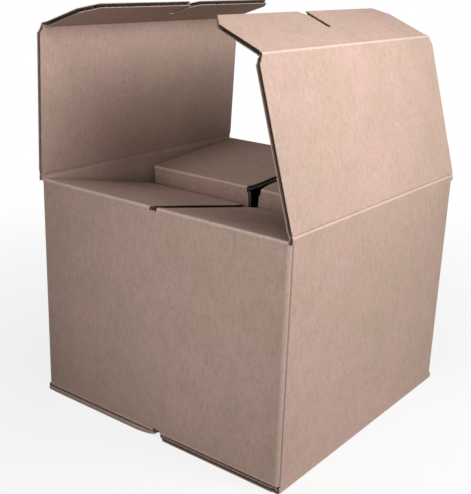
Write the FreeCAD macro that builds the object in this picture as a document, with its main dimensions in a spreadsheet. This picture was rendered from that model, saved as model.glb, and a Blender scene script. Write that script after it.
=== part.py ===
# Open corrugated carton with slotted tuck lips.
# X runs along the front wall, Y from front to back, Z up. The origin is the
# middle of the footprint, on the surface that the carton stands on.
import FreeCAD, Part
import os
import Sketcher

doc = FreeCAD.newDocument("carton")

# Driving dimensions, in millimetres and degrees.
SIZES = [
    # Outside of the box.
    ("width", 270),
    ("depth", 270),
    ("fold_height", 209),
    ("board", 4),
    ("corner_radius", 5),
    ("inner_radius", 1),
    ("fold_radius", 2.5),
    # The front and back walls stop above the outer bottom flaps, and the side
    # walls rise past the inner top flaps by one board and a little air.
    ("base_gap", 2),
    ("lay_gap", 0.5),
    # Every flap ends just short of the middle of the box.
    ("centre_gap", 1),
    # The outer bottom flaps meet a little to the right of the middle.
    ("bottom_seam", 4.5),
    # Front and back flaps, which fold in first.
    ("minor_inset", 5),
    ("minor_lip_length", 64),
    ("minor_lip_inset", 7),
    ("minor_taper", 4.5),
    ("minor_slot_width", 11),
    ("minor_slot_mouth", 16),
    ("minor_mouth_run", 15),
    ("minor_slot_depth", 54.5),
    ("hook_width", 8),
    ("hook_drop", 2.5),
    ("front_slope", 11.2),
    ("back_slope", 4.2),
    # Left and right flaps, which close over them.
    ("major_lip_length", 58),
    ("major_lip_inset", 7),
    ("major_slot_width", 6),
    ("major_slot_depth", 28),
    ("mouth_run", 8),
    ("mouth_rise", 8),
    ("clip_run", 13),
    ("clip_rise", 13),
    ("notch_run", 7),
    ("notch_rise", 6),
    # How the two flaps stand, from upright towards the inside.
    ("left_lean", 2.2),
    ("left_bend", 69),
    ("left_shift", -2),
    ("right_lean", 16.4),
    ("right_bend", 51),
    ("right_shift", 0),
    # The creases: how far each one turns, and the web left between the grooves.
    ("closed_angle", 90),
    ("open_angle", 95),
    ("lip_square", 90),
    ("lip_back", 12),
    ("web", 0.2),
    ("web_gap", 0.3),
    # Board edges: liners stand proud of the core, which shows its waves.
    ("liner", 0.5),
    ("edge_recess", 2),
    ("groove_margin", 9),
    ("flute_pitch", 7.9),
    ("flute_depth", 3),
    ("flute_foot", 0.9),
    ("flute_tip", 0.4),
    ("flute_count", 28),
    # The glued lap inside the back left corner.
    ("lap_width", 35),
    ("lap_margin", 13),
    ("lap_taper", 10),
]

sheet = doc.addObject("Spreadsheet::Sheet", "Sizes")
for row, (alias, value) in enumerate(SIZES, start=1):
    sheet.set(f"A{row}", alias)
    sheet.set(f"B{row}", str(value))
    sheet.setAlias(f"B{row}", alias)
doc.recompute()

# Lengths that several pieces share, as expressions on the sheet.
T = "Sizes.board"
HALF_WIDTH = "Sizes.width / 2"
HALF_DEPTH = "Sizes.depth / 2"
BASE_FOLD = f"({T} + Sizes.base_gap)"
MAJOR_PANEL = f"({HALF_WIDTH} - Sizes.centre_gap)"
MINOR_PANEL = f"({HALF_DEPTH} - Sizes.centre_gap)"
SIDE_FOLD = f"(Sizes.fold_height + {T} + Sizes.lay_gap)"
HINGE_X = f"({HALF_WIDTH} - {T} / 2)"
HINGE_Z = f"({SIDE_FOLD} - {T} / 2)"
LIP_AXIS = f"({MAJOR_PANEL} - {T})"
LIP_REACH = f"(Sizes.major_lip_length - {T} / 2)"
MAJOR_LIP_HALF = f"({HALF_DEPTH} - Sizes.major_lip_inset)"
MINOR_HALF = f"({HALF_WIDTH} - Sizes.minor_inset)"
OVERLAP = "4 * Sizes.board"
PROUD = "Sizes.base_gap / 2"

# The grooves beside a crease, as rise over run from the web to each face.
HALF_WEB = "Sizes.web / 2"
GROOVE_RUN = f"({T} / 2 - {HALF_WEB})"
OPEN_GROOVE = f"{GROOVE_RUN} / tan((180 - Sizes.open_angle) / 2)"
CLOSED_GROOVE = f"{GROOVE_RUN} / tan((180 - Sizes.closed_angle) / 2)"
LIP_GROOVE = f"{GROOVE_RUN} / tan((180 - Sizes.lip_square) / 2)"
BACK_GROOVE = f"{GROOVE_RUN} / tan((180 - Sizes.lip_back) / 2)"


ALONG = FreeCAD.Vector(1, 0, 0)
INWARD = FreeCAD.Vector(0, 1, 0)
UP = FreeCAD.Vector(0, 0, 1)


def plane_sketch(body, name, role, offset="0"):
    """A sketch on one of the body's own planes, moved along its normal."""
    sketch = body.newObject("Sketcher::SketchObject", name)
    plane = next(f for f in body.Origin.OriginFeatures if f.Role == role)
    sketch.AttachmentSupport = (plane, "")
    sketch.MapMode = "FlatFace"
    sketch.setExpression("AttachmentOffset.Base.z", offset)
    return sketch


def draw_loop(sketch, corners):
    """A closed loop of straight lines, with every corner bound to the sheet."""
    points = [[float(sketch.evalExpression(text)) for text in corner] for corner in corners]
    first = sketch.GeometryCount
    count = len(corners)
    for index, point in enumerate(points):
        following = points[(index + 1) % count]
        line = Part.LineSegment(FreeCAD.Vector(*point, 0), FreeCAD.Vector(*following, 0))
        sketch.addGeometry(line, False)
    for index in range(count):
        following = first + (index + 1) % count
        sketch.addConstraint(Sketcher.Constraint("Coincident", first + index, 2, following, 1))
    for index, corner in enumerate(corners):
        for kind, text, value in zip(("DistanceX", "DistanceY"), corner, points[index]):
            number = sketch.addConstraint(Sketcher.Constraint(kind, first + index, 1, value))
            sketch.setExpression(f"Constraints[{number}]", text)


def loop_sketch(body, name, role, loops, offset="0"):
    sketch = plane_sketch(body, name, role, offset)
    for corners in loops:
        draw_loop(sketch, corners)
    return sketch


def pad(body, name, sketch, length, side_type="Symmetric", reverse=False):
    feature = body.newObject("PartDesign::Pad", name)
    feature.Profile = sketch
    feature.SideType = side_type
    feature.Reversed = reverse
    feature.setExpression("Length", length)
    doc.recompute()
    return feature


def pocket(body, name, sketch, length=None, side_type="One side", reverse=False):
    """A cut, which has to take something away."""
    before = body.Shape.Volume
    feature = body.newObject("PartDesign::Pocket", name)
    feature.Profile = sketch
    feature.SideType = side_type
    feature.Reversed = reverse
    if length is None:
        feature.Type = "ThroughAll"
    else:
        feature.setExpression("Length", length)
    doc.recompute()
    if not body.Shape.Volume < before:
        raise RuntimeError(f"{name} cuts nothing")
    return feature


def runs_along(edge, axis):
    """Whether an edge is straight and parallel to an axis."""
    if len(edge.Vertexes) != 2:
        return False
    span = edge.Vertexes[1].Point - edge.Vertexes[0].Point
    return abs(abs(span.dot(axis)) - edge.Length) < 0.001


def round_edges(body, name, radius, axis, wanted):
    """Fillets the edges along an axis whose ends pass the test."""
    base = body.Tip
    names = [
        f"Edge{number}"
        for number, edge in enumerate(base.Shape.Edges, start=1)
        if runs_along(edge, axis) and all(wanted(vertex.Point) for vertex in edge.Vertexes)
    ]
    if not names:
        raise RuntimeError(f"{name} finds no edge")
    feature = body.newObject("PartDesign::Fillet", name)
    feature.Base = (base, names)
    feature.setExpression("Radius", radius)
    doc.recompute()
    return feature


def size(expression):
    return float(sheet.evalExpression(expression))


def near(value, expression):
    return abs(value - size(expression)) < 0.01


# The carton: four walls, the front and back flaps and the closed bottom.
carton = doc.addObject("PartDesign::Body", "carton_body")


def square(half_x, half_y):
    return [
        (f"-({half_x})", f"-({half_y})"),
        (half_x, f"-({half_y})"),
        (half_x, half_y),
        (f"-({half_x})", half_y),
    ]


ring = loop_sketch(
    carton,
    "wall_outline",
    "XY_Plane",
    [square(HALF_WIDTH, HALF_DEPTH), square(f"{HALF_WIDTH} - {T}", f"{HALF_DEPTH} - {T}")],
    f"{BASE_FOLD} + {T}",
)
pad(carton, "walls", ring, f"Sizes.fold_height - {BASE_FOLD} - 2 * {T}", "One side")
round_edges(
    carton,
    "outer_corners",
    "Sizes.corner_radius",
    UP,
    lambda p: near(abs(p.x), HALF_WIDTH) and near(abs(p.y), HALF_DEPTH),
)
round_edges(
    carton,
    "inner_corners",
    "Sizes.inner_radius",
    UP,
    lambda p: near(abs(p.x), f"{HALF_WIDTH} - {T}") and near(abs(p.y), f"{HALF_DEPTH} - {T}"),
)


class MinorFlap:
    """A front or back flap with its lip, at the top or the bottom.

    Positions are given as a distance from the middle plane and a height. toward
    is the sign of Y, and rise the sign of Z in which the lip leaves the wall.
    The slot lies over the seam of the outer flaps, whose lips go through it.
    """

    def __init__(self, name, toward, fold, rise, slope, seam="0"):
        self.name = name
        self.seam = seam
        self.toward = toward
        self.fold = fold
        self.rise = rise
        run = f"{MINOR_PANEL} * cos({slope})"
        drop = f"{MINOR_PANEL} * sin({slope})"
        self.lip_at = f"({HALF_DEPTH} - {run})"
        self.lip_fold = self.height(drop)
        self.inner_fold = self.height(f"{T} * (1 + sin({slope})) / cos({slope})")
        self.inner_lip = self.height(f"{drop} + {T} * (1 - sin({slope})) / cos({slope})")
        self.lip_end = self.height(f"{drop} + Sizes.minor_lip_length")
        self.slot_end = self.height(f"{drop} + Sizes.minor_slot_depth")
        self.mouth_end = self.height(f"{drop} + Sizes.minor_mouth_run")
        self.through = f"{drop} + {T} * (1 + sin({slope})) / cos({slope}) + {PROUD}"

    def height(self, below):
        return f"({self.fold} + {self.rise} * ({below}))"

    def y(self, distance):
        return f"{self.toward} * ({distance})"

    def about_seam(self, right_half):
        """A loop from its right half, mirrored and laid over the seam."""
        left_half = [(f"-({a})", b) for a, b in reversed(right_half)]
        return [(f"{self.seam} + {a}", b) for a, b in right_half + left_half]

    def strip(self):
        """The end of the wall, the panel and the lip, bent from one strip."""
        wall_end = self.height(OVERLAP)
        wall_face = f"{HALF_DEPTH} - {T}"
        corners = [
            (HALF_DEPTH, wall_end),
            (HALF_DEPTH, self.fold),
            (self.lip_at, self.lip_fold),
            (self.lip_at, self.lip_end),
            (f"{self.lip_at} + {T}", self.lip_end),
            (f"{self.lip_at} + {T}", self.inner_lip),
            (wall_face, self.inner_fold),
            (wall_face, wall_end),
        ]
        sketch = loop_sketch(
            carton, f"{self.name}_outline", "YZ_Plane", [[(self.y(a), b) for a, b in corners]]
        )
        pad(carton, f"{self.name}_strip", sketch, f"2 * {MINOR_HALF}")

    def folds(self):
        def on_fold(p):
            at_wall = near(p.y, self.y(HALF_DEPTH)) and near(p.z, self.fold)
            at_lip = near(p.y, self.y(self.lip_at)) and near(p.z, self.lip_fold)
            return at_wall or at_lip

        round_edges(carton, f"{self.name}_folds", "Sizes.fold_radius", ALONG, on_fold)

    def cut_lip_ends(self):
        """The lip is narrower than the panel it hangs from."""
        past = f"{self.lip_end} + {self.rise} * {PROUD}"
        inner = f"{MINOR_HALF} - Sizes.minor_lip_inset"
        outer = f"{MINOR_HALF} + {PROUD}"
        corners = [(inner, self.inner_lip), (outer, self.inner_lip), (outer, past), (inner, past)]
        start = f"-({self.y(f'{self.lip_at} - {PROUD}')})"
        sketch = loop_sketch(
            carton,
            f"{self.name}_lip_end_outline",
            "XZ_Plane",
            [[(f"{end} * ({a})", b) for a, b in corners] for end in (-1, 1)],
            start,
        )
        pocket(
            carton,
            f"{self.name}_lip_ends",
            sketch,
            f"{T} + 2 * {PROUD}",
            reverse=self.toward < 0,
        )

    def cut_panel_slot(self):
        """The slot down the middle of the panel, and the taper of its sides."""
        narrow = "Sizes.minor_slot_width / 2"
        wide = "Sizes.minor_slot_mouth / 2"
        past = f"{self.lip_at} - {PROUD}"
        right = [
            (narrow, f"{HALF_DEPTH} - {T}"),
            (narrow, f"{self.lip_at} + Sizes.minor_mouth_run"),
            (wide, self.lip_at),
            (wide, past),
        ]
        taper = [
            (MINOR_HALF, f"{HALF_DEPTH} - {T}"),
            (f"{MINOR_HALF} + {PROUD}", f"{HALF_DEPTH} - {T}"),
            (f"{MINOR_HALF} + {PROUD}", past),
            (f"{MINOR_HALF} - Sizes.minor_taper", past),
        ]
        loops = [self.about_seam(right), taper, [(f"-({a})", b) for a, b in taper]]
        start = f"{self.fold} - {self.rise} * {PROUD}"
        sketch = loop_sketch(
            carton,
            f"{self.name}_slot_outline",
            "XY_Plane",
            [[(a, self.y(b)) for a, b in loop] for loop in loops],
            start,
        )
        pocket(carton, f"{self.name}_slot", sketch, self.through, reverse=self.rise > 0)

    def cut_hook(self):
        """The slot runs on over the wall's fold for a little way."""
        half = "Sizes.hook_width / 2"
        inner = f"{HALF_DEPTH} - {T} - {PROUD}"
        outer = f"{HALF_DEPTH} + {PROUD}"
        corners = self.about_seam([(half, inner), (half, outer)])
        start = f"{self.fold} - {self.rise} * {PROUD}"
        sketch = loop_sketch(
            carton,
            f"{self.name}_hook_outline",
            "XY_Plane",
            [[(a, self.y(b)) for a, b in corners]],
            start,
        )
        pocket(
            carton,
            f"{self.name}_hook",
            sketch,
            f"Sizes.hook_drop + {PROUD}",
            reverse=self.rise > 0,
        )

    def cut_lip_slot(self):
        """The slot goes on into the lip, narrowing below the fold."""
        narrow = "Sizes.minor_slot_width / 2"
        wide = "Sizes.minor_slot_mouth / 2"
        end = "Sizes.minor_slot_width / 4"
        right = [
            (wide, self.height(f"{self.through} - {PROUD} - {T}")),
            (narrow, self.mouth_end),
            (narrow, f"{self.slot_end} - {self.rise} * {end}"),
            (end, self.slot_end),
        ]
        start = f"-({self.y(f'{self.lip_at} - {PROUD}')})"
        sketch = loop_sketch(
            carton, f"{self.name}_lip_slot_outline", "XZ_Plane", [self.about_seam(right)], start
        )
        pocket(
            carton,
            f"{self.name}_lip_slot",
            sketch,
            f"{T} + 2 * {PROUD}",
            reverse=self.toward < 0,
        )

    def build(self):
        self.strip()
        self.folds()
        self.cut_lip_ends()
        self.cut_panel_slot()
        self.cut_hook()
        self.cut_lip_slot()


MinorFlap("front_top", -1, "Sizes.fold_height", -1, "Sizes.front_slope").build()
MinorFlap("back_top", 1, "Sizes.fold_height", -1, "Sizes.back_slope").build()
MinorFlap("front_bottom", -1, BASE_FOLD, 1, "0", "Sizes.bottom_seam").build()
MinorFlap("back_bottom", 1, BASE_FOLD, 1, "0", "Sizes.bottom_seam").build()


def side_wall_top(name, side):
    """The side wall's top, grooved on both faces where its flap turns."""
    low = f"Sizes.fold_height - {OVERLAP}"
    crest = f"{HINGE_Z} - Sizes.web_gap"
    corners = [
        (HALF_WIDTH, low),
        (HALF_WIDTH, f"{crest} - {OPEN_GROOVE}"),
        (f"{HINGE_X} + {HALF_WEB}", crest),
        (f"{HINGE_X} - {HALF_WEB}", crest),
        (f"{HALF_WIDTH} - {T}", f"{crest} - {CLOSED_GROOVE}"),
        (f"{HALF_WIDTH} - {T}", low),
    ]
    sketch = loop_sketch(
        carton, f"{name}_top_outline", "XZ_Plane", [[(f"{side} * ({a})", b) for a, b in corners]]
    )
    pad(carton, f"{name}_top", sketch, "Sizes.depth - 2 * Sizes.corner_radius")


def bottom_lip_at(side):
    """How far from the middle plane an outer bottom flap ends, on its own side."""
    return f"(Sizes.centre_gap + {side} * Sizes.bottom_seam)"


def bottom_major(name, side):
    """An outer bottom flap, folded flat under the box, and its lip inside."""
    lip_at = bottom_lip_at(side)
    wall_face = f"{HALF_WIDTH} - {T}"
    wall_end = f"{BASE_FOLD} + {OVERLAP}"
    wall = [(HALF_WIDTH, "0"), (HALF_WIDTH, wall_end), (wall_face, wall_end), (wall_face, "0")]
    panel = [(HALF_WIDTH, "0"), (lip_at, "0"), (lip_at, T), (HALF_WIDTH, T)]
    lip_face = f"{lip_at} + {T}"
    lip_end = "Sizes.major_lip_length"
    lip = [(lip_at, "0"), (lip_at, lip_end), (lip_face, lip_end), (lip_face, "0")]
    for part, corners, width in (
        ("wall", wall, "Sizes.depth - 2 * Sizes.corner_radius"),
        ("panel", panel, "Sizes.depth"),
        ("lip", lip, f"2 * {MAJOR_LIP_HALF}"),
    ):
        sketch = loop_sketch(
            carton,
            f"{name}_{part}_outline",
            "XZ_Plane",
            [[(f"{side} * ({a})", b) for a, b in corners]],
        )
        pad(carton, f"{name}_{part}", sketch, width)

    def on_fold(p):
        at_fold = near(p.x * side, HALF_WIDTH) or near(p.x * side, lip_at)
        return near(p.z, "0") and at_fold

    round_edges(carton, f"{name}_folds", "Sizes.fold_radius", INWARD, on_fold)


def slot_loop(free_edge, fold_way):
    """The centre slot of a major lip, from its free edge, with one eased side."""
    half = "Sizes.major_slot_width / 2"
    slot_end = f"{free_edge} + {fold_way} * Sizes.major_slot_depth"
    eased = f"{free_edge} + {fold_way} * Sizes.mouth_rise"
    past = f"{free_edge} - {fold_way} * {PROUD}"
    corner = "Sizes.major_slot_width / 4"
    return [
        (f"-{half} - Sizes.mouth_run", past),
        (f"-{half} - Sizes.mouth_run", free_edge),
        (f"-{half} - Sizes.mouth_run / 4", f"{free_edge} + {fold_way} * Sizes.mouth_rise / 3"),
        (f"-{half}", eased),
        (f"-{half}", f"{slot_end} - {fold_way} * {corner}"),
        (f"-{corner}", slot_end),
        (corner, slot_end),
        (half, f"{slot_end} - {fold_way} * {corner}"),
        (half, past),
    ]


def clip_loops(free_edge, fold_way):
    """The two clipped corners of a major lip."""
    past = f"{free_edge} - {fold_way} * {PROUD}"
    inner = f"{MAJOR_LIP_HALF} - Sizes.clip_run"
    foot = f"{free_edge} + {fold_way} * Sizes.clip_rise"
    outside = f"{MAJOR_LIP_HALF} + {PROUD}"
    corners = [(inner, past), (outside, past), (outside, foot), (MAJOR_LIP_HALF, foot), (inner, free_edge)]
    return [[(f"{end} * ({a})", b) for a, b in corners] for end in (-1, 1)]


for name, side in (("left_wall", -1), ("right_wall", 1)):
    side_wall_top(name, side)
for name, side in (("left_bottom", -1), ("right_bottom", 1)):
    bottom_major(name, side)

# Both inner lips stand side by side, so one cut shapes the two.
lip_pair = f"(Sizes.centre_gap + {T} + Sizes.web_gap)"
bottom_cuts = loop_sketch(
    carton,
    "bottom_lip_cuts_outline",
    "YZ_Plane",
    [slot_loop("Sizes.major_lip_length", -1)] + clip_loops("Sizes.major_lip_length", -1),
    f"Sizes.bottom_seam + {lip_pair}",
)
pocket(carton, "bottom_lip_cuts", bottom_cuts, f"2 * {lip_pair}")

# The lap that closes the sheet into a tube, glued inside the left wall.
lap_y = f"({HALF_DEPTH} - {T})"
lap_low = f"({BASE_FOLD} + Sizes.lap_margin)"
lap_high = "(Sizes.fold_height - Sizes.lap_margin)"
lap_outline = loop_sketch(
    carton,
    "glue_lap_outline",
    "YZ_Plane",
    [
        [
            (lap_y, lap_low),
            (lap_y, lap_high),
            (f"{lap_y} - Sizes.lap_width", f"{lap_high} - Sizes.lap_taper"),
            (f"{lap_y} - Sizes.lap_width", f"{lap_low} + Sizes.lap_taper"),
        ]
    ],
    f"-({HALF_WIDTH} - {T})",
)
pad(carton, "glue_lap", lap_outline, T, "One side")

# The core sits back between the liners on the bottom flaps' cut edges.
for name, end in (("front", -1), ("back", 1)):
    core = []
    for side in (-1, 1):
        outer = f"{HALF_WIDTH} - Sizes.groove_margin"
        inner = f"{bottom_lip_at(side)} + Sizes.groove_margin"
        low = "Sizes.liner"
        high = f"{T} - Sizes.liner"
        corners = [(outer, low), (outer, high), (inner, high), (inner, low)]
        core.append([(f"{side} * ({a})", b) for a, b in corners])
    sketch = loop_sketch(
        carton,
        f"{name}_bottom_core_outline",
        "XZ_Plane",
        core,
        f"-{end} * ({HALF_DEPTH} - Sizes.edge_recess)",
    )
    pocket(carton, f"{name}_bottom_core", sketch, reverse=end < 0)


def groove_side_edges(body, name, half_length, low, high):
    """Sinks the core between the liners on both side edges of a flap."""
    core = f"({T} / 2 - Sizes.liner)"
    corners = [(f"-{core}", low), (core, low), (core, high), (f"-{core}", high)]
    for end, way in (("front", -1), ("back", 1)):
        sketch = loop_sketch(
            body,
            f"{name}_{end}_core_outline",
            "XZ_Plane",
            [corners],
            f"-{way} * ({half_length} - Sizes.edge_recess)",
        )
        pocket(body, f"{name}_{end}_core", sketch, reverse=way < 0)


def major_flap(name, side, lean, shift):
    """A left or right flap: a panel that turns on the side wall's top crease."""
    body = doc.addObject("PartDesign::Body", name)
    foot = "Sizes.web_gap"
    head = f"{LIP_AXIS} - Sizes.web_gap"
    corners = [
        (HALF_WEB, foot),
        (f"{T} / 2", f"{foot} + {OPEN_GROOVE}"),
        (f"{T} / 2", f"{head} - {BACK_GROOVE}"),
        (HALF_WEB, head),
        (f"-{HALF_WEB}", head),
        (f"-{T} / 2", f"{head} - {LIP_GROOVE}"),
        (f"-{T} / 2", f"{foot} + {CLOSED_GROOVE}"),
        (f"-{HALF_WEB}", foot),
    ]
    profile = loop_sketch(
        body, f"{name}_outline", "XZ_Plane", [[(f"{side} * ({a})", b) for a, b in corners]]
    )
    pad(body, f"{name}_panel", profile, "Sizes.depth")

    shoulder = f"{LIP_AXIS} - Sizes.notch_rise"
    past = f"{LIP_AXIS} + {PROUD}"
    notch = [
        (HALF_DEPTH, shoulder),
        (f"{HALF_DEPTH} + {PROUD}", shoulder),
        (f"{HALF_DEPTH} + {PROUD}", past),
        (f"{HALF_DEPTH} - Sizes.notch_run", past),
    ]
    both_ends = [[(f"{end} * ({a})", b) for a, b in notch] for end in (-1, 1)]
    notches = loop_sketch(body, f"{name}_notch_outline", "YZ_Plane", both_ends)
    pocket(body, f"{name}_notches", notches, side_type="Symmetric")
    groove_side_edges(
        body, name, HALF_DEPTH, "Sizes.groove_margin", f"{LIP_AXIS} - Sizes.groove_margin"
    )
    place(body, side, lean, shift, "0", "0")
    return body


def major_lip(name, side, lean, bend, shift):
    """The slotted lip at the end of a left or right flap."""
    body = doc.addObject("PartDesign::Body", name)
    foot = "Sizes.web_gap"
    corners = [
        (HALF_WEB, foot),
        (f"{T} / 2", f"{foot} + {BACK_GROOVE}"),
        (f"{T} / 2", LIP_REACH),
        (f"-{T} / 2", LIP_REACH),
        (f"-{T} / 2", f"{foot} + {LIP_GROOVE}"),
        (f"-{HALF_WEB}", foot),
    ]
    profile = loop_sketch(
        body, f"{name}_outline", "XZ_Plane", [[(f"{side} * ({a})", b) for a, b in corners]]
    )
    pad(body, f"{name}_panel", profile, f"2 * {MAJOR_LIP_HALF}")
    groove_side_edges(
        body,
        name,
        MAJOR_LIP_HALF,
        "Sizes.groove_margin",
        f"{LIP_REACH} - Sizes.clip_rise",
    )
    flute_ends(body, name)
    cuts = loop_sketch(
        body, f"{name}_cuts_outline", "YZ_Plane", [slot_loop(LIP_REACH, -1)] + clip_loops(LIP_REACH, -1)
    )
    pocket(body, f"{name}_cuts", cuts, side_type="Symmetric")
    place(body, side, lean, shift, LIP_AXIS, bend)
    return body


def flute_ends(body, name):
    """The open ends of the waves along a lip's free edge, two to each wave."""
    core = f"({T} / 2 - Sizes.liner)"
    tip = f"({core} - Sizes.liner)"
    pitch = "Sizes.flute_pitch"
    start = f"(-{pitch} * Sizes.flute_count / 2)"
    outer = [
        (core, f"{start} + Sizes.flute_foot"),
        (core, f"{start} + {pitch} - Sizes.flute_foot"),
        (f"-{tip}", f"{start} + {pitch} / 2 + Sizes.flute_tip"),
        (f"-{tip}", f"{start} + {pitch} / 2 - Sizes.flute_tip"),
    ]
    inner = [
        (f"-{core}", f"{start} + {pitch} / 2 + Sizes.flute_foot"),
        (f"-{core}", f"{start} + 3 * {pitch} / 2 - Sizes.flute_foot"),
        (tip, f"{start} + {pitch} + Sizes.flute_tip"),
        (tip, f"{start} + {pitch} - Sizes.flute_tip"),
    ]
    sketch = loop_sketch(body, f"{name}_flute_outline", "XY_Plane", [outer, inner], LIP_REACH)
    first = pocket(body, f"{name}_flute", sketch, "Sizes.flute_depth")
    pattern = body.newObject("PartDesign::LinearPattern", f"{name}_flutes")
    pattern.Originals = [first]
    pattern.Direction = (next(f for f in body.Origin.OriginFeatures if f.Role == "Y_Axis"), [""])
    pattern.setExpression("Length", f"{pitch} * (Sizes.flute_count - 1)")
    pattern.setExpression("Occurrences", "Sizes.flute_count")
    body.Tip = pattern
    doc.recompute()


def place(body, side, lean, shift, reach, bend):
    """Stands a flap on its crease, or a lip at the end of its leaning flap."""
    angle = f"-{side} * ({lean} + {bend})"
    body.Placement = FreeCAD.Placement(FreeCAD.Vector(), FreeCAD.Rotation(INWARD, size(angle)))
    body.setExpression("Placement.Base.x", f"{side} * ({HINGE_X} - {reach} * sin({lean}))")
    body.setExpression("Placement.Base.y", shift)
    body.setExpression("Placement.Base.z", f"{HINGE_Z} + {reach} * cos({lean})")
    body.setExpression("Placement.Rotation.Angle", angle)


pieces = [carton]
for hand, side in (("left", -1), ("right", 1)):
    lean = f"Sizes.{hand}_lean"
    bend = f"Sizes.{hand}_bend"
    shift = f"Sizes.{hand}_shift"
    pieces.append(major_flap(f"{hand}_flap", side, lean, shift))
    pieces.append(major_lip(f"{hand}_lip", side, lean, bend, shift))

doc.recompute()

for item in doc.Objects:
    if "Invalid" in item.State or "Error" in item.State:
        raise RuntimeError(f"{item.Label} failed")
for piece in pieces:
    if piece.Shape.isNull() or not piece.Shape.isValid() or len(piece.Shape.Solids) != 1:
        raise RuntimeError(f"{piece.Label} is not one sound solid")

os.makedirs("parts", exist_ok=True)
for piece in pieces:
    piece.Shape.exportStep(f"parts/{piece.Label}.step")
    box = piece.Shape.BoundBox
    spans = (box.XMin, box.YMin, box.ZMin, box.XMax, box.YMax, box.ZMax)
    print(piece.Label, round(piece.Shape.Volume), "mm3", [round(value, 1) for value in spans])
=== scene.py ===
# %% [markdown]
# A corrugated cardboard box that stands open. Its two inner flaps are folded in, its two outer
# flaps stand up, and their slotted lips bend inwards over the mouth.
# The real box is one sheet: two smooth liners with a wavy medium glued between them, cut out,
# creased and folded. So each flap is modelled as that sandwich, with real waves at its cut edges,
# and each crease as a short crushed strip that bends. The measured model is loaded first, and
# every piece is built where that model says.

# %% Load the frame
import math

import bpy
from mathutils import Matrix, Quaternion, Vector


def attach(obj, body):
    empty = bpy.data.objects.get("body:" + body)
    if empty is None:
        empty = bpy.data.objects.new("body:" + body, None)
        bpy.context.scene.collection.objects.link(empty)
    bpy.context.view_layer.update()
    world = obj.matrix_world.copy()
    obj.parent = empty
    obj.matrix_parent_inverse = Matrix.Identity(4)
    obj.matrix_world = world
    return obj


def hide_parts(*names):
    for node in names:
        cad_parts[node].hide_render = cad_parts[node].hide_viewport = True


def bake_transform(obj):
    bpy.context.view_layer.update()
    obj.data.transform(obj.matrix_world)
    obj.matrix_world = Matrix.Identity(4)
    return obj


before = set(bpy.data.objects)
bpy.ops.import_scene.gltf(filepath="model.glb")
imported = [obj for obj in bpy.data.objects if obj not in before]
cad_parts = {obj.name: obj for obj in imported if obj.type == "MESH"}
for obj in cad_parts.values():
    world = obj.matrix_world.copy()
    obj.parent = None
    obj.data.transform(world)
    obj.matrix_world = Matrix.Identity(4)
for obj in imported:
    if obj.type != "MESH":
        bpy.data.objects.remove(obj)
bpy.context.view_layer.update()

# %% [markdown]
# The camera stands a little above the box, off its front right corner. Its place, turn and lens
# were worked out from the box's corners, so the render has the same view as the picture.

# %% Place the camera
CAMERA_AT = Vector((0.4529, -0.6233, 0.3982))
CAMERA_TURN = Vector((1.8039, 0.6394, -0.4159))
FOCAL_PIXELS = 861.8
IMAGE_WIDTH, IMAGE_HEIGHT = 471, 494
SENSOR = 36.0

camera_data = bpy.data.cameras.new("camera")
camera_data.sensor_width = SENSOR
camera_data.sensor_height = SENSOR
camera_data.lens = FOCAL_PIXELS * SENSOR / max(IMAGE_WIDTH, IMAGE_HEIGHT)
camera = bpy.data.objects.new("camera", camera_data)
bpy.context.collection.objects.link(camera)
world_to_view = Quaternion(CAMERA_TURN.normalized(), CAMERA_TURN.length).to_matrix()
view_to_camera = Matrix(((1, 0, 0), (0, -1, 0), (0, 0, -1)))
camera_to_world = (view_to_camera @ world_to_view).transposed().to_4x4()
camera.matrix_world = Matrix.Translation(CAMERA_AT) @ camera_to_world
bpy.context.scene.camera = camera
print("lens in millimetres:", round(camera_data.lens, 1))

# %% [markdown]
# All sizes are in metres. The board is common single-wall board: 4 mm thick, with a wave every
# 7.9 mm. The angles say how far each flap leans in from upright and how far its lip bends on.

# %% Sizes of the box
WIDTH = 0.270
FOLD_HEIGHT = 0.209
BOARD = 0.004
HALF_BOARD = BOARD / 2
CORNER_RADIUS = 0.005
CENTRE_GAP = 0.001
BOTTOM_SEAM = 0.0045
QUARTER = math.radians(90)
SIDE_FOLD = FOLD_HEIGHT + BOARD + 0.0005
WALL_MIDDLE = WIDTH / 2 - HALF_BOARD

MAJOR_REACH = WIDTH / 2 - CENTRE_GAP - BOARD
MAJOR_LIP = 0.058 - HALF_BOARD
LEAN = {"left": math.radians(2.2), "right": math.radians(16.4)}
BEND = {"left": math.radians(69), "right": math.radians(51)}
SHIFT = {"left": -0.002, "right": 0.0}

MINOR_PANEL = WIDTH / 2 - CENTRE_GAP
SLOPE = {"front": math.radians(11.2), "back": math.radians(4.2)}

LINER = 0.0005
MEDIUM = 0.0004
FLUTE_PITCH = 0.0079
FOLD_REACH = 0.0019
HINGE_REACH = 0.0026
print("outer flap, hinge to lip fold:", MAJOR_REACH, "m")

# %% [markdown]
# Modelling with operators means picking things by where they are. Operators act on whatever is
# selected, so these two helpers clear the selection first: one picks an object, and the other
# opens it and picks the vertices, edges or faces whose middle passes a test.

# %% Helpers for picking
def only(obj):
    """Leaves one object selected and active."""
    bpy.ops.object.select_all(action="DESELECT")
    obj.select_set(True)
    bpy.context.view_layer.objects.active = obj
    return obj


def pick(obj, kind, wanted):
    """Opens an object with the items of one kind selected whose middle passes the test."""
    only(obj)
    bpy.ops.object.mode_set(mode="EDIT")
    bpy.ops.mesh.select_mode(type=kind)
    bpy.ops.mesh.select_all(action="DESELECT")
    bpy.ops.object.mode_set(mode="OBJECT")
    mesh = obj.data
    if kind == "VERT":
        for vertex in mesh.vertices:
            vertex.select = wanted(vertex.co)
    else:
        for item in mesh.edges if kind == "EDGE" else mesh.polygons:
            corners = [mesh.vertices[index].co for index in item.vertices]
            item.select = wanted(sum(corners, Vector()) / len(corners))
    bpy.ops.object.mode_set(mode="EDIT")


def done():
    bpy.ops.object.mode_set(mode="OBJECT")


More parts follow.
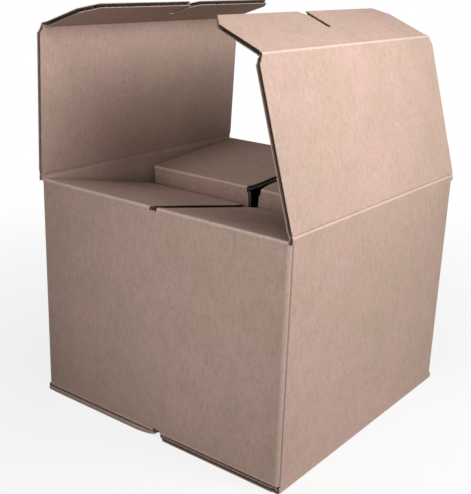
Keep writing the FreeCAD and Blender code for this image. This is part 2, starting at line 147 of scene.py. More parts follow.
def near(value, target, slack=1e-5):
    return abs(value - target) < slack


def block(name, low, high):
    """A box between two corners, as the start of a piece."""
    low, high = Vector(low), Vector(high)
    bpy.ops.object.select_all(action="DESELECT")
    bpy.ops.mesh.primitive_cube_add(size=1, location=(low + high) / 2)
    made = bpy.context.object
    made.name = name
    made.scale = high - low
    bpy.ops.object.transform_apply(location=True, rotation=True, scale=True)
    return made


def apply_modifier(obj, kind, **settings):
    """Adds a modifier, sets it and applies it."""
    only(obj)
    modifier = obj.modifiers.new(kind.lower(), kind)
    for key, value in settings.items():
        setattr(modifier, key, value)
    bpy.ops.object.modifier_apply(modifier=modifier.name)


def cut(obj, cutter, operation="DIFFERENCE"):
    """Cuts one solid with another, and throws the cutter away."""
    apply_modifier(obj, "BOOLEAN", object=cutter, operation=operation, solver="EXACT")
    bpy.data.objects.remove(cutter)


def copy_of(obj, name):
    made = obj.copy()
    made.data = obj.data.copy()
    made.name = name
    bpy.context.collection.objects.link(made)
    return made


def put(obj, matrix):
    """Moves a finished piece to its place, and keeps the place in its mesh."""
    obj.matrix_world = matrix
    only(obj)
    bpy.ops.object.transform_apply(location=True, rotation=True, scale=True)


print("helpers ready")

# %% [markdown]
# Shader maths reads best as plain formulas. This small class wraps one output of a node, and its
# operators add the Math nodes. Every other node goes through one method, which takes the node's
# type, its settings and the values or links of its sockets.

# %% Shader formulas
class Wire:
    """One output of a shader node. Arithmetic on it adds Math nodes."""

    def __init__(self, graph, socket):
        self.graph = graph
        self.socket = socket

    def combine(self, operation, first, second):
        return self.graph.node("ShaderNodeMath", {"operation": operation}, {0: first, 1: second})

    def __add__(self, other):
        return self.combine("ADD", self, other)

    __radd__ = __add__

    def __sub__(self, other):
        return self.combine("SUBTRACT", self, other)

    def __rsub__(self, other):
        return self.combine("SUBTRACT", other, self)

    def __mul__(self, other):
        return self.combine("MULTIPLY", self, other)

    __rmul__ = __mul__

    def __pow__(self, other):
        return self.combine("POWER", self, other)


class Graph:
    """A material being built."""

    def __init__(self, name):
        self.material = bpy.data.materials.new(name)
        self.material.use_nodes = True
        self.tree = self.material.node_tree
        self.shader = self.tree.nodes["Principled BSDF"]

    def node(self, kind, settings=(), sockets=(), output=0):
        made = self.tree.nodes.new(kind)
        for key, value in dict(settings).items():
            if key == "stops":
                for place, colour in value[1:-1]:
                    made.color_ramp.elements.new(place)
                for element, (place, colour) in zip(made.color_ramp.elements, value):
                    element.position = place
                    element.color = colour
            else:
                setattr(made, key, value)
        for key, value in dict(sockets).items():
            self.feed(made.inputs[key], value)
        return Wire(self, made.outputs[output])

    def feed(self, socket, value):
        if isinstance(value, Wire):
            self.tree.links.new(value.socket, socket)
        else:
            socket.default_value = value

    def noise(self, place, scale, detail=2.0, roughness=0.5):
        sockets = {"Vector": place, "Scale": scale, "Detail": detail, "Roughness": roughness}
        return self.node("ShaderNodeTexNoise", {}, sockets)

    def ramp(self, factor, *stops):
        """A soft step or band, as grey stops of (place, value)."""
        spelled = [(place, (value, value, value, 1)) for place, value in stops]
        return self.node("ShaderNodeValToRGB", {"stops": spelled}, {"Fac": factor})

    def tint(self, factor, under, over, blend="MIX"):
        """Lays one colour over another."""
        return self.node(
            "ShaderNodeMix",
            {"data_type": "RGBA", "blend_type": blend},
            {0: factor, 6: under, 7: over},
            output=2,
        )


def colour(red, green, blue):
    """A colour in display values from 0 to 255, as a shader wants it."""
    return tuple(((part / 255 + 0.055) / 1.055) ** 2.4 for part in (red, green, blue)) + (1.0,)


print("shader helpers ready")

# %% [markdown]
# Kraft liner is brown paper made from long fibres. Close up it has fibres that run with the
# waves, a few dark and pale flecks, and soft cloudy patches that are a little more pink or grey.
# The waves of the medium print through as faint stripes. Where the board is folded, the paper is
# stretched and rubbed, and a painted highlight along the fold makes it paler still. The fold
# strips carry an attribute that says how near the fold a point is, and the walls two that paint a
# shade line and a highlight down each upright corner.

# %% Kraft liner
KRAFT = colour(178, 153, 139)
KRAFT_PINK = colour(186, 155, 147)
KRAFT_OLIVE = colour(164, 145, 128)
FIBRE_DARK = colour(132, 108, 92)
FIBRE_PALE = colour(212, 192, 178)
FOLD_SCUFF_AND_HIGHLIGHT = colour(222, 200, 190)
CORNER_SHADE_DARK = colour(92, 70, 60)


def kraft(name, across):
    """Kraft paper whose waves run square to the named axis."""
    g = Graph(name)
    place = g.node("ShaderNodeTexCoord", output=3)
    stretch = {"X": (1, 0.16, 0.16), "Y": (0.16, 1, 0.16)}[across]
    along_waves = g.node("ShaderNodeMapping", {}, {"Vector": place, "Scale": stretch})
    axis = {"X": 0, "Y": 1}[across]
    position = g.node("ShaderNodeSeparateXYZ", {}, {0: place}, output=axis)

    cloud = g.ramp(g.noise(place, 11, 3, 0.55), (0.38, 0), (0.66, 1))
    patch = g.ramp(g.noise(place, 34, 4, 0.6), (0.42, 0), (0.68, 1))
    fibres = g.noise(along_waves, 900, 4, 0.7)
    grain = g.noise(place, 1500, 3, 0.6)
    mottle = g.noise(place, 240, 3, 0.65)
    flecks = g.ramp(g.noise(place, 620, 1, 0.3), (0.70, 0), (0.76, 1))
    bright = g.ramp(g.noise(along_waves, 1300, 1, 0.3), (0.70, 0), (0.78, 1))

    base = g.tint(cloud * 0.75, KRAFT, KRAFT_PINK)
    base = g.tint(patch * 0.45, base, KRAFT_OLIVE)
    base = g.tint(g.ramp(fibres, (0.30, 1), (0.52, 0)) * 0.34, base, FIBRE_DARK)
    base = g.tint(g.ramp(mottle, (0.30, 1), (0.50, 0)) * 0.20, base, FIBRE_DARK)
    base = g.tint(flecks * 0.55, base, FIBRE_DARK)
    base = g.tint(bright * 0.5, base, FIBRE_PALE)

    # Painted highlight: the fold attribute makes folds and wall corners paler, mixed with real
    # rubbing, and noise breaks it up.
    fold = g.node("ShaderNodeAttribute", {"attribute_name": "fold"}, output=2)
    patchy = g.ramp(g.noise(place, 420, 2, 0.6), (0.35, 0), (0.6, 1))
    scuff_and_highlight = (fold ** 1.6) * (0.55 + 0.45 * patchy)
    base = g.tint(scuff_and_highlight * 0.8, base, FOLD_SCUFF_AND_HIGHLIGHT)
    # Painted shade: a dark line down each wall corner, where a sharp fold would fall into shade.
    line = g.node("ShaderNodeAttribute", {"attribute_name": "line"}, output=2)
    base = g.tint(line * 0.7, base, CORNER_SHADE_DARK)
    g.feed(g.shader.inputs["Base Color"], base)

    phase = position * (2 * math.pi / FLUTE_PITCH)
    stripes = g.node("ShaderNodeMath", {"operation": "SINE"}, {0: phase})
    height = stripes * 0.000018 + fibres * 0.00003 + grain * 0.00002 + mottle * 0.00002
    bump = g.node("ShaderNodeBump", {}, {"Strength": 0.9, "Distance": 1.0, "Height": height})
    g.feed(g.shader.inputs["Normal"], bump)
    g.feed(g.shader.inputs["Roughness"], 0.80 + 0.14 * mottle)
    g.shader.inputs["Specular IOR Level"].default_value = 0.25
    return g.material


kraft_over_x = kraft("kraft_front_and_back", "X")
kraft_over_y = kraft("kraft_sides", "Y")
print("kraft ready")

# %% [markdown]
# A knife leaves the liners' edges paler than their faces, because it opens the paper's fibres.
# The darker brown mixed into them is painted shade for the slots. The wavy medium between them is
# thin recycled paper, greyer than the liners, and painted much darker as shade between the
# liners.

# %% Cut edges and medium
def plain_paper(name, fineness, dark, pale, strength, relief):
    """A fuzzy paper of two mixed tones."""
    g = Graph(name)
    place = g.node("ShaderNodeTexCoord", output=3)
    fuzz = g.noise(place, fineness, 3, 0.7)
    base = g.tint(fuzz, dark, pale)
    g.feed(g.shader.inputs["Base Color"], base)
    height = fuzz * relief
    sockets = {"Strength": strength, "Distance": 1.0, "Height": height}
    bump = g.node("ShaderNodeBump", {}, sockets)
    g.feed(g.shader.inputs["Normal"], bump)
    g.shader.inputs["Roughness"].default_value = 0.95
    return g.material


# Painted shade: the darker brown of the cut edges and the dark medium stand for shade in slots
# and between liners.
edge_paper = plain_paper(
    "cut_edge", 1700, colour(118, 98, 84), colour(216, 198, 184), 0.8, 0.0002
)
shaded_medium_paper = plain_paper(
    "medium_paper", 900, colour(62, 48, 40), colour(112, 92, 78), 0.6, 0.0001
)
print("materials:", len(bpy.data.materials))

# %% [markdown]
# Each flat part is a sandwich. It lies flat while it is made: X along its crease, Y from the
# crease to its free edge, and Z out of the box. One plain outline is cut to shape first. Two thin
# copies of it become the liners, and a sheet of waves cut by it becomes the medium, so the
# waves end exactly where a knife would cut them.

# %% Board as a sandwich
FACE, EDGE, CORE = 0, 1, 2
CORE_RECESS = 0.002
WAVE_STEPS = 8


def dress(obj, paper, whole=None):
    """Kraft on the faces and cut edge on the rest, or one of the papers all over."""
    obj.data.materials.clear()
    for material in (paper, edge_paper, shaded_medium_paper):
        obj.data.materials.append(material)
    for face in obj.data.polygons:
        if whole is not None:
            face.material_index = whole
        else:
            face.material_index = FACE if abs(face.normal.z) > 0.5 else EDGE


def wave_sheet(name, half, low, high):
    """The medium: one wave, repeated along X and given its thickness."""
    count = math.ceil(2 * half / FLUTE_PITCH) + 2
    start = -count * FLUTE_PITCH / 2
    bpy.ops.object.select_all(action="DESELECT")
    bpy.ops.mesh.primitive_grid_add(x_subdivisions=WAVE_STEPS, y_subdivisions=1, size=1)
    wave = bpy.context.object
    wave.name = name
    wave.location = (start + FLUTE_PITCH / 2, (low + high) / 2, 0)
    wave.scale = (FLUTE_PITCH, high - low, 1)
    bpy.ops.object.transform_apply(location=True, rotation=True, scale=True)
    swing = HALF_BOARD - LINER - MEDIUM / 2
    for column in range(WAVE_STEPS + 1):
        across = start + column * FLUTE_PITCH / WAVE_STEPS
        pick(wave, "VERT", lambda at: near(at.x, across, 1e-4))
        height = swing * math.cos(column * 2 * math.pi / WAVE_STEPS)
        bpy.ops.transform.translate(value=(0, 0, height))
        done()
    apply_modifier(
        wave,
        "ARRAY",
        count=count,
        relative_offset_displace=(1, 0, 0),
        use_merge_vertices=True,
        merge_threshold=0.00002,
    )
    apply_modifier(wave, "SOLIDIFY", thickness=MEDIUM, offset=0)
    return wave


def join(name, parts):
    bpy.ops.object.select_all(action="DESELECT")
    for part in parts:
        part.select_set(True)
    bpy.context.view_layer.objects.active = parts[0]
    bpy.ops.object.join()
    parts[0].name = name
    parts[0].data.name = name
    return parts[0]


def sandwich(name, outline, paper, half, low, high):
    """Turns a solid outline into two liners with waves between them."""
    liners = []
    for side in (1, -1):
        liner = copy_of(outline, name + "_liner")
        only(liner)
        liner.scale = (1, 1, LINER / BOARD)
        liner.location = (0, 0, side * (HALF_BOARD - LINER / 2))
        bpy.ops.object.transform_apply(location=True, rotation=True, scale=True)
        dress(liner, paper)
        liners.append(liner)
    waves = wave_sheet(name + "_waves", half, low - 0.002, high + 0.002)
    cut(waves, outline, "INTERSECT")
    only(waves)
    waves.scale = (1 - CORE_RECESS / half, 1, 1)
    bpy.ops.object.transform_apply(location=True, rotation=True, scale=True)
    dress(waves, paper, CORE)
    return join(name, liners + [waves])


def outline_of(name, half_low, half_high, low, high, corner=0):
    """A flat sheet whose sides may taper, with its two far corners cut off."""
    made = block(name, (-half_low, low, -HALF_BOARD), (half_low, high, HALF_BOARD))
    pick(made, "VERT", lambda at: near(at.y, high))
    bpy.ops.transform.resize(value=(half_high / half_low, 1, 1), center_override=(0, 0, 0))
    done()
    if corner:
        pick(made, "EDGE", lambda at: near(at.y, high) and near(abs(at.x), half_high))
        bpy.ops.mesh.bevel(offset=corner, segments=1, affect="EDGES")
        done()
    return made


def slot_cutter(half, low, high, mouth=None, mouth_low=None, at=0, rounded=0.0015):
    """A cutter for a slot that may widen towards its mouth."""
    cutter = block("slot_cutter", (at - half, low, -0.01), (at + half, high, 0.01))
    if rounded:
        pick(cutter, "EDGE", lambda spot: near(spot.y, low) and near(spot.z, 0))
        bpy.ops.mesh.bevel(offset=rounded, segments=2, affect="EDGES")
        done()
    if mouth is None:
        return cutter, None
    flare = block("slot_mouth", (at - mouth, mouth_low, -0.01), (at + mouth, high, 0.01))
    pick(flare, "VERT", lambda spot: near(spot.y, mouth_low))
    bpy.ops.transform.resize(value=(half / mouth, 1, 1), center_override=(at, 0, 0))
    done()
    return cutter, flare


def cut_all(obj, *cutters):
    for cutter in cutters:
        if cutter is not None:
            cut(obj, cutter)


print("sandwich ready")

# %% [markdown]
# A crease is pressed into the flat board before it is cut out. It crushes the waves, so the board
# can bend there. Each crease is a strip cut into narrow rows. Rows near the middle are squeezed
# from the inside, and each row is turned a little more than the one before it.

# %% Creases
ROW = 0.00052
PALE_REACH = 0.001
INNER_PALE = 0.25


def pick_list(obj, indices):
    """Opens an object with only the listed vertices selected."""
    only(obj)
    for vertex in obj.data.vertices:
        vertex.select = False
    for edge in obj.data.edges:
        edge.select = False
    for face in obj.data.polygons:
        face.select = False
    for index in indices:
        obj.data.vertices[index].select = True
    bpy.ops.object.mode_set(mode="EDIT")
    bpy.ops.mesh.select_mode(type="VERT")


def eased(value):
    """A smooth step from 0 to 1."""
    value = min(max(value, 0), 1)
    return value * value * (3 - 2 * value)


def crease(
    name,
    paper,
    half,
    before,
    after,
    angle,
    reach=FOLD_REACH,
    inside=0.0012,
    outside=0.0005,
    line=None,
    gaps=(),
    near_half=None,
):
    """A crushed strip of board. It bends inwards by the angle about its middle axis.

    The strip runs from before to after the axis. The liners bulge in and out by inside and
    outside, line is a groove's place and depth, gaps are cut out, and near_half is the half
    width where the strip starts, if that differs.
    """
    parts = []
    layers = (
        (HALF_BOARD - LINER, HALF_BOARD, half, None),
        (-HALF_BOARD, LINER - HALF_BOARD, half, None),
        (LINER - HALF_BOARD, HALF_BOARD - LINER, half - CORE_RECESS, CORE),
    )
    for bottom, top, reach_x, whole in layers:
        layer = block(name + "_layer", (-reach_x, -before, bottom), (reach_x, after, top))
        if near_half:
            pick(layer, "VERT", lambda at: near(at.y, -before))
            bpy.ops.transform.resize(value=(near_half / half, 1, 1), center_override=(0, 0, 0))
            done()
        for left, right, low, high in gaps:
            cut(layer, block("gap", (left, low, -0.01), (right, high, 0.01)))
        dress(layer, paper, whole)
        parts.append(layer)
    made = join(name, parts)
    count = round((before + after) / ROW)
    step = (before + after) / count
    pick(made, "VERT", lambda at: False)
    for index in range(1, count):
        bpy.ops.mesh.select_all(action="SELECT")
        bpy.ops.mesh.bisect(plane_co=(0, index * step - before, 0), plane_no=(0, 1, 0))
    done()

    rows = [[] for _ in range(count + 1)]
    for vertex in made.data.vertices:
        rows[round((vertex.co.y + before) / step)].append(vertex.index)
    spots = [index * step - before for index in range(count + 1)]
    # Painted highlight along the fold: strongest on the outer liner, weak on the inner one.
    fold = made.data.attributes.new("fold", "FLOAT", "POINT")
    for row, spot in zip(rows, spots):
        nearness = max(0, 1 - abs(spot) / PALE_REACH)
        for index in row:
            outer = made.data.vertices[index].co.z > HALF_BOARD - LINER - 1e-5
            fold.data[index].value = nearness if outer else INNER_PALE * nearness

    for row, spot in zip(rows, spots):
        nearness = max(0, 1 - (spot / reach) ** 2)
        inner = [i for i in row if made.data.vertices[i].co.z < 0]
        outer = [i for i in row if made.data.vertices[i].co.z > 0]
        lift = outside * max(0, 1 - abs(spot) / ROW)
        if line and abs(spot - line[0]) < 0.0005:
            lift -= line[1]
        for indices, move in ((inner, inside * nearness), (outer, lift)):
            if abs(move) > 1e-6:
                pick_list(made, indices)
                bpy.ops.transform.translate(value=(0, 0, move))
                done()
        turned = angle * eased((spot + reach) / (2 * reach))
        if turned:
            pick_list(made, row)
            bpy.ops.transform.rotate(
                value=turned,
                orient_axis="X",
                orient_type="GLOBAL",
                center_override=(0, 0, 0),
            )
            done()
    only(made)
    bpy.ops.object.shade_smooth_by_angle(angle=math.radians(35))
    return made


def bent(angle, along=0.0):
    """The place beyond a fold: some way along the board, then turned inwards."""
    return Matrix.Translation((0, along, 0)) @ Matrix.Rotation(-angle, 4, "X")


def upright(origin, along, up, out):
    """The place of a board from the directions its own axes take."""
    columns = Matrix((along, up, out)).transposed().to_4x4()
    return Matrix.Translation(origin) @ columns


print("creases ready")

# %% [markdown]
# The four walls are one sheet folded round and glued, so they are one tube. The tube starts as a
# block with its upright edges rounded and its top and bottom left open, and then gets the
# board's thickness on the inside. Its rims stop where the creases begin, and only the corners
# run on past them, as posts.

# %% Walls
CARTON = "carton"
WALL_TOP = 0.2039
POST_TOP = 0.2066
POST_FOOT = 0.0064
POST_FROM = 0.1304
WALL_FOOT = 0.0107

walls = block("walls", (-WIDTH / 2, -WIDTH / 2, POST_FOOT), (WIDTH / 2, WIDTH / 2, POST_TOP))
pick(walls, "EDGE", lambda at: near(abs(at.x), WIDTH / 2) and near(abs(at.y), WIDTH / 2))
bpy.ops.mesh.bevel(offset=CORNER_RADIUS, segments=8, affect="EDGES")
done()
pick(walls, "FACE", lambda at: near(at.z, POST_TOP) or near(at.z, POST_FOOT))
bpy.ops.mesh.delete(type="FACE")
done()
apply_modifier(walls, "SOLIDIFY", thickness=BOARD, offset=-1)
for low, high in ((WALL_TOP, 0.22), (-0.01, WALL_FOOT)):
    cut(walls, block("rim", (-POST_FROM, -0.2, low), (POST_FROM, 0.2, high)))
    cut(walls, block("rim", (-0.2, -POST_FROM, low), (0.2, POST_FROM, high)))
walls.data.materials.clear()
for material in (kraft_over_x, kraft_over_y, edge_paper):
    walls.data.materials.append(material)
for face in walls.data.polygons:
    side = 0 if abs(face.normal.y) > abs(face.normal.x) else 1
    face.material_index = 2 if abs(face.normal.z) > 0.5 else side
# Painted shade and highlight on each upright corner: a dark line across the bevel, a paler band
# on its half next to the front or back wall, and faint paleness on the rest.
line = walls.data.attributes.new("line", "FLOAT", "POINT")
pale = walls.data.attributes.new("fold", "FLOAT", "POINT")
for index, vertex in enumerate(walls.data.vertices):
    across = abs(vertex.co.x) - WIDTH / 2 + CORNER_RADIUS
    along = abs(vertex.co.y) - WIDTH / 2 + CORNER_RADIUS
    if across > 1e-5 and along > 1e-5:
        turn = math.degrees(math.atan2(across, along))
        line.data[index].value = 1.0 if abs(turn - 56) < 6 else 0.0
        pale.data[index].value = 0.45 if turn < 48 else 0.1
only(walls)
bpy.ops.object.shade_smooth_by_angle(angle=math.radians(40))
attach(walls, CARTON)
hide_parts("carton_body")
print("walls:", len(walls.data.polygons), "faces")

# %% [markdown]
# The tube is closed by a lap, glued inside the left wall at its back end. Its ends are cut
# aslant so that they don't catch on the flaps.

# %% Glue lap
lap = block("glue_lap", (-0.131, 0.096, 0.019), (-0.127, 0.131, 0.196))
pick(lap, "EDGE", lambda at: near(at.y, 0.096) and not near(at.z, 0.1075))
bpy.ops.mesh.bevel(offset=0.010, segments=1, affect="EDGES")
done()
apply_modifier(lap, "BEVEL", width=0.0004, segments=2)
lap.data.materials.append(kraft_over_y)
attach(lap, CARTON)
print("glue lap added")

# %% [markdown]
# The front and back flaps fold in first. Each has a long slot from its crease down into its lip,
# and the lip hangs down in the middle of the box. The flaps of the bottom are folded the same
# way, so one function makes all four.

# %% Inner flaps
MINOR_HALF = WIDTH / 2 - CORNER_RADIUS
MINOR_TIP_HALF = MINOR_HALF - 0.0045
MINOR_LIP_HALF = MINOR_HALF - 0.007
SLOT_HALF = 0.0055
SLOT_MOUTH_HALF = 0.008
MOUTH_DEPTH = 0.013
HOOK_HALF = 0.004


def inner_flap(name, place, slope, length, lip_length, slot_at=0.0):
    """A front or back flap with its lip, at the top or the bottom."""
    first = QUARTER + slope
    second = QUARTER - slope
    hinge = crease(
        name + "_crease",
        kraft_over_x,
        MINOR_HALF + 0.0008,
        0.00266,
        0.005,
        first,
        outside=0.0008,
        gaps=[(slot_at - HOOK_HALF, slot_at + HOOK_HALF, -0.0012, 0.02)],
    )
    put(hinge, place)

    panel_place = place @ bent(first)
    high = length - 0.004
    panel = outline_of(name + "_outline", MINOR_HALF, MINOR_TIP_HALF, 0.005, high)
    slot, flare = slot_cutter(
        SLOT_HALF, 0, length + 0.01, SLOT_MOUTH_HALF, length - 0.015, at=slot_at, rounded=0
    )
    cut_all(panel, slot, flare)
    panel = sandwich(name + "_panel", panel, kraft_over_x, MINOR_HALF, 0.005, high)
    put(panel, panel_place)

    lip_place = panel_place @ bent(second, length)
    fold = crease(
        name + "_lip_crease",
        kraft_over_x,
        MINOR_LIP_HALF,
        0.004,
        0.004,
        second,
        gaps=[(slot_at - SLOT_MOUTH_HALF, slot_at + SLOT_MOUTH_HALF, -0.02, 0.02)],
        near_half=MINOR_TIP_HALF,
    )
    put(fold, panel_place @ Matrix.Translation((0, length, 0)))

    lip = outline_of(name + "_outline", MINOR_LIP_HALF, MINOR_LIP_HALF, 0.004, lip_length)
    end = lip_length - 0.0095
    low_side, high_side = slot_at - SLOT_HALF, slot_at + SLOT_HALF
    slot = block("slot_cutter", (low_side, -0.01, -0.01), (high_side, end, 0.01))
    pick(slot, "EDGE", lambda spot: near(spot.y, end) and near(spot.z, 0))
    bpy.ops.mesh.bevel(offset=0.0028, segments=2, affect="EDGES")
    done()
    low_side, high_side = slot_at - SLOT_MOUTH_HALF, slot_at + SLOT_MOUTH_HALF
    flare = block("slot_mouth", (low_side, -0.01, -0.01), (high_side, MOUTH_DEPTH, 0.01))
    pick(flare, "VERT", lambda spot: near(spot.y, MOUTH_DEPTH))
    narrowed = SLOT_HALF / SLOT_MOUTH_HALF
    bpy.ops.transform.resize(value=(narrowed, 1, 1), center_override=(slot_at, 0, 0))
    done()
    cut_all(lip, slot, flare)
    lip = sandwich(name + "_lip", lip, kraft_over_x, MINOR_LIP_HALF, 0.004, lip_length)
    put(lip, lip_place)
    for piece in (hinge, panel, fold, lip):
        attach(piece, CARTON)
    return hinge, panel, fold, lip


X, Y, Z = (Vector(axis) for axis in ((1, 0, 0), (0, 1, 0), (0, 0, 1)))
top_flaps = []
INNER_TOPS = (("front", -1, 0.206565, 0.11897), ("back", 1, 0.20685, 0.1352))
for name, toward, height, end in INNER_TOPS:
    slope = SLOPE[name]
    place = upright((0, toward * WALL_MIDDLE, height), -toward * X, Z, toward * Y)
    lip_middle = WIDTH / 2 - MINOR_PANEL * math.cos(slope) + HALF_BOARD
    length = (WALL_MIDDLE - lip_middle) / math.cos(slope)
    lip_length = height - length * math.sin(slope) - end
    top_flaps += inner_flap(name + "_flap", place, slope, length, lip_length)
print("top inner flaps:", len(top_flaps), "pieces")

# %% [markdown]
# At the bottom the same two flaps lie flat, 4 mm above the ground, because the outer flaps pass
# under them. Their slots sit over the seam of the outer flaps, a little off the middle.

# %% Bottom inner flaps
bottom_flaps = []
for name, toward in (("front", -1), ("back", 1)):
    place = upright((0, toward * WALL_MIDDLE, 0.008), toward * X, -Z, toward * Y)
    bottom_flaps += inner_flap(
        name + "_bottom", place, 0.0, 0.130, 0.062, slot_at=toward * BOTTOM_SEAM
    )
print("bottom inner flaps:", len(bottom_flaps), "pieces")

# %% [markdown]
# The outer flaps of the bottom meet at the seam. Their lips stand up side by side through the
# slots and lock the bottom.

# %% Bottom outer flaps
LIP_HALF = 0.128
LIP_SLOT_HALF = 0.003


def slotted_lip(name, paper, length, low=0.004):
    """The lip of an outer flap: clipped corners, and a slot with one eased side."""
    lip = outline_of(name + "_outline", LIP_HALF, LIP_HALF, low, length, corner=0.013)
    slot, _ = slot_cutter(LIP_SLOT_HALF, length - 0.028, length + 0.01)
    ease = block("slot_ease", (-0.011, length - 0.008, -0.01), (-0.002, length + 0.01, 0.01))
    pick(ease, "VERT", lambda at: near(at.y, length - 0.008) and at.x < -0.005)
    bpy.ops.transform.translate(value=(0.0083, 0, 0))
    done()
    pick(ease, "VERT", lambda at: at.y > length and at.x < -0.005)
    bpy.ops.transform.translate(value=(0, -0.01, 0))
    done()
    cut_all(lip, slot, ease)
    return sandwich(name, lip, paper, LIP_HALF, low, length)


slabs = []
for name, side, length in (("left", -1, 0.1345), ("right", 1, 0.1255)):
    place = upright((side * WALL_MIDDLE, 0, HALF_BOARD), -side * Y, -Z, side * X)
    hinge = crease(
        name + "_bottom_crease",
        kraft_over_y,
        0.1342,
        0.0088,
        0.005,
        QUARTER,
        gaps=[(POST_FROM, 0.15, -0.02, -0.0042), (-0.15, -POST_FROM, -0.02, -0.0042)],
    )
    put(hinge, place)
    slab = outline_of(name + "_outline", WIDTH / 2, WIDTH / 2, 0.005, length - 0.004)
    slab = sandwich(name + "_slab", slab, kraft_over_y, WIDTH / 2, 0.005, length - 0.004)
    put(slab, place @ bent(QUARTER))
    seam_name = name + "_seam_crease"
    seam = crease(seam_name, kraft_over_y, LIP_HALF, 0.004, 0.004, QUARTER, near_half=0.1342)
    put(seam, place @ bent(QUARTER) @ Matrix.Translation((0, length, 0)))
    lip = slotted_lip(name + "_bottom_lip", kraft_over_y, 0.056)
    put(lip, place @ bent(QUARTER) @ bent(QUARTER, length))
    for piece in (hinge, slab, seam, lip):
        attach(piece, CARTON)
        slabs.append(piece)
print("bottom outer flaps:", len(slabs), "pieces")

# %% [markdown]
# The left slab's front edge is crushed and rounded, so its waves don't show, and its end has
# curled up towards the seam. A rounded strip closes that edge. Then narrow columns of the strip,
# the slab and its seam crease are lifted, more and more towards the seam.

# %% Crushed edge and curled end
CURL_FROM = -0.021
CURL_TO = 0.0035
CURL_STEP = 0.002
CURL_RISE = 0.0034
TOP_SHARE = 0.35

strip = block("left_slab_edge", (-0.1345, -0.1354, 0.0002), (0.0032, -0.1332, 0.0039))
strip.data.materials.append(kraft_over_x)


def curl(obj):
    """Lifts the low points of a piece, more and more towards the seam."""
    pick(obj, "VERT", lambda at: False)
    for step in range(12):
        bpy.ops.mesh.select_all(action="SELECT")
        bpy.ops.mesh.bisect(plane_co=(CURL_FROM + CURL_STEP * step, 0, 0), plane_no=(1, 0, 0))
    done()
    columns = {}
    for vertex in obj.data.vertices:
        if vertex.co.x > CURL_FROM and vertex.co.z < 0.0075:
            spot = (round(vertex.co.x, 3), vertex.co.z < 0.002)
            columns.setdefault(spot, []).append(vertex.index)
    for (across, is_low), indices in sorted(columns.items()):
        share = (across - CURL_FROM) / (CURL_TO - CURL_FROM)
        rise = CURL_RISE * share ** 1.8 * (1 if is_low else TOP_SHARE)
        pick_list(obj, indices)
        bpy.ops.transform.translate(value=(0, 0, rise))
        done()


for piece in (strip, slabs[1], slabs[2]):
    curl(piece)
apply_modifier(strip, "BEVEL", width=0.0009, segments=3, limit_method="ANGLE")
only(strip)
bpy.ops.object.shade_smooth_by_angle(angle=math.radians(50))
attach(strip, CARTON)
print("curled pieces: 3")

# %% [markdown]
# The two outer flaps stand up. Each turns on the crease at the top of its side wall, and its lip
# turns on a second crease. Both creases stretch over a joint of the model.

# %% Outer flaps
outer = []
for name, side in (("left", -1), ("right", 1)):
    lean, bend = LEAN[name], BEND[name]
    origin = (side * WALL_MIDDLE, SHIFT[name], SIDE_FOLD - HALF_BOARD)
    hinge_place = upright(origin, side * Y, Z, side * X)
    panel_place = hinge_place @ bent(lean)
    lip_place = panel_place @ bent(bend, MAJOR_REACH)
    flap_body, lip_body = name + "_flap", name + "_lip"

    ends = [side * (end * POST_FROM - SHIFT[name]) for end in (side, -side)]
    hinge = crease(
        name + "_hinge_crease",
        kraft_over_y,
        0.1346,
        0.0076,
        0.005,
        lean,
        reach=HINGE_REACH,
        inside=0.0007,
        outside=-0.0002,
        line=(0.0012, 0.0007),
        gaps=[(ends[0], 0.15, -0.02, -0.0046), (-0.15, ends[1], -0.02, -0.0046)],
    )
    put(hinge, hinge_place)
    panel = outline_of(name + "_outline", WIDTH / 2, WIDTH / 2, 0.005, 0.126, corner=0.0023)
    panel = sandwich(name + "_panel", panel, kraft_over_y, WIDTH / 2, 0.005, 0.126)
    put(panel, panel_place)
    fold_name = name + "_lip_crease"
    fold = crease(fold_name, kraft_over_y, LIP_HALF, 0.004, 0.004, bend, near_half=0.1328)
    put(fold, panel_place @ Matrix.Translation((0, MAJOR_REACH, 0)))
    lip = slotted_lip(name + "_tuck_lip", kraft_over_y, MAJOR_LIP)
    put(lip, lip_place)

    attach(panel, flap_body)
    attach(lip, lip_body)
    along = hinge_place @ Vector((0, -HINGE_REACH, 0)), hinge_place @ Vector((0, HINGE_REACH, 0))
    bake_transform(hinge)
    middle = panel_place @ bent(bend / 2, MAJOR_REACH)
    along = middle @ Vector((0, -FOLD_REACH, 0)), middle @ Vector((0, FOLD_REACH, 0))
    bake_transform(fold)
    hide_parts(flap_body)
    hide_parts(lip_body)
    outer += [hinge, panel, fold, lip]
print("outer flaps:", len(outer), "pieces")

# %% [markdown]
# A plain studio with a pale floor. A soft key lamp stands high on the right, a small side lamp
# is near the right flap, a weak one hangs over the mouth, and a spot lights the front. The
# surround fills the shadows a little, and is fully white only where the camera sees it.

# %% Floor and light
FLOOR_SIZE = 6.0
FILL = 0.15
LAMPS = (
    ("key", 0.35, (0.95, -0.3, 0.62), (0, 0, 0.2), 3.5),
    ("side", 0.2, (0.46, 0, 0.56), (0.12, 0, 0.27), 2.6),
    ("top", 0.3, (0.05, -0.3, 0.95), (0, -0.05, 0.2), 1.6),
)
FRONT_AT = (0.14, -0.62, 0.3)
FRONT_AIM = (0.03, -0.135, 0.2)
FRONT_ENERGY = 4.6


def place_lamp(kind, name, at, aim, energy):
    """Adds a lamp that points at a place."""
    bpy.ops.object.light_add(type=kind, location=at)
    lamp = bpy.context.object
    lamp.name = name
    lamp.data.energy = energy
    direction = Vector(aim) - lamp.location
    lamp.rotation_euler = direction.to_track_quat("-Z", "Y").to_euler()
    return lamp


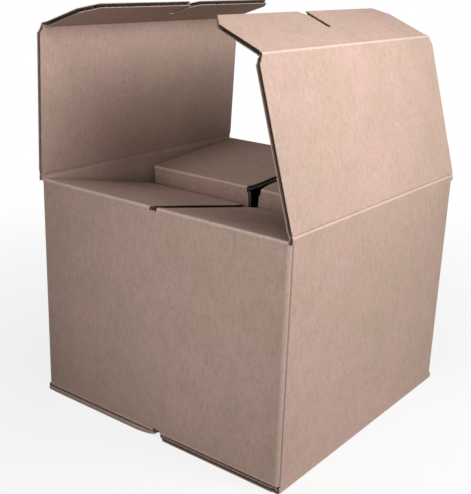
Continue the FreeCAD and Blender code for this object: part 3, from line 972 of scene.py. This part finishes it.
bpy.ops.object.select_all(action="DESELECT")
bpy.ops.mesh.primitive_plane_add(size=FLOOR_SIZE, location=(0, 0, 0))
floor = bpy.context.object
floor.name = "floor"
g = Graph("pale_floor")
g.shader.inputs["Base Color"].default_value = (0.7, 0.7, 0.7, 1)
g.shader.inputs["Roughness"].default_value = 0.9
spot = g.node("ShaderNodeTexCoord", output=3)
distance = g.node("ShaderNodeVectorMath", {"operation": "LENGTH"}, {0: spot}, output=1)
white = g.ramp(distance * 0.8, (0.16, 0.82), (0.6, 1.0))
camera_ray = g.node("ShaderNodeLightPath")
glow = g.node("ShaderNodeEmission", {}, {"Color": (1, 1, 1, 1), "Strength": 1.0})
plain = Wire(g, g.shader.outputs[0])
blended = g.node("ShaderNodeMixShader", {}, {0: white * camera_ray, 1: plain, 2: glow})
g.feed(g.tree.nodes["Material Output"].inputs["Surface"], blended)
floor.data.materials.append(g.material)

world = bpy.data.worlds.new("studio")
bpy.context.scene.world = world
world.use_nodes = True
tree = world.node_tree
background = tree.nodes["Background"]
background.inputs["Color"].default_value = (1, 1, 1, 1)
background.inputs["Strength"].default_value = FILL
seen = tree.nodes.new("ShaderNodeBackground")
seen.inputs["Color"].default_value = (1, 1, 1, 1)
seen.inputs["Strength"].default_value = 1.0
ray = tree.nodes.new("ShaderNodeLightPath")
chosen = tree.nodes.new("ShaderNodeMixShader")
tree.links.new(ray.outputs["Is Camera Ray"], chosen.inputs[0])
tree.links.new(background.outputs[0], chosen.inputs[1])
tree.links.new(seen.outputs[0], chosen.inputs[2])
tree.links.new(chosen.outputs[0], tree.nodes["World Output"].inputs["Surface"])

for name, size, at, aim, energy in LAMPS:
    lamp = place_lamp("AREA", name, at, aim, energy)
    lamp.data.size = size
    lamp.visible_camera = False
front = place_lamp("SPOT", "front", FRONT_AT, FRONT_AIM, FRONT_ENERGY)
front.data.spot_size = math.radians(58)
front.data.spot_blend = 1
front.data.shadow_soft_size = 0.06
bpy.context.scene.view_settings.view_transform = "Standard"
print("lamps:", len(LAMPS) + 1)
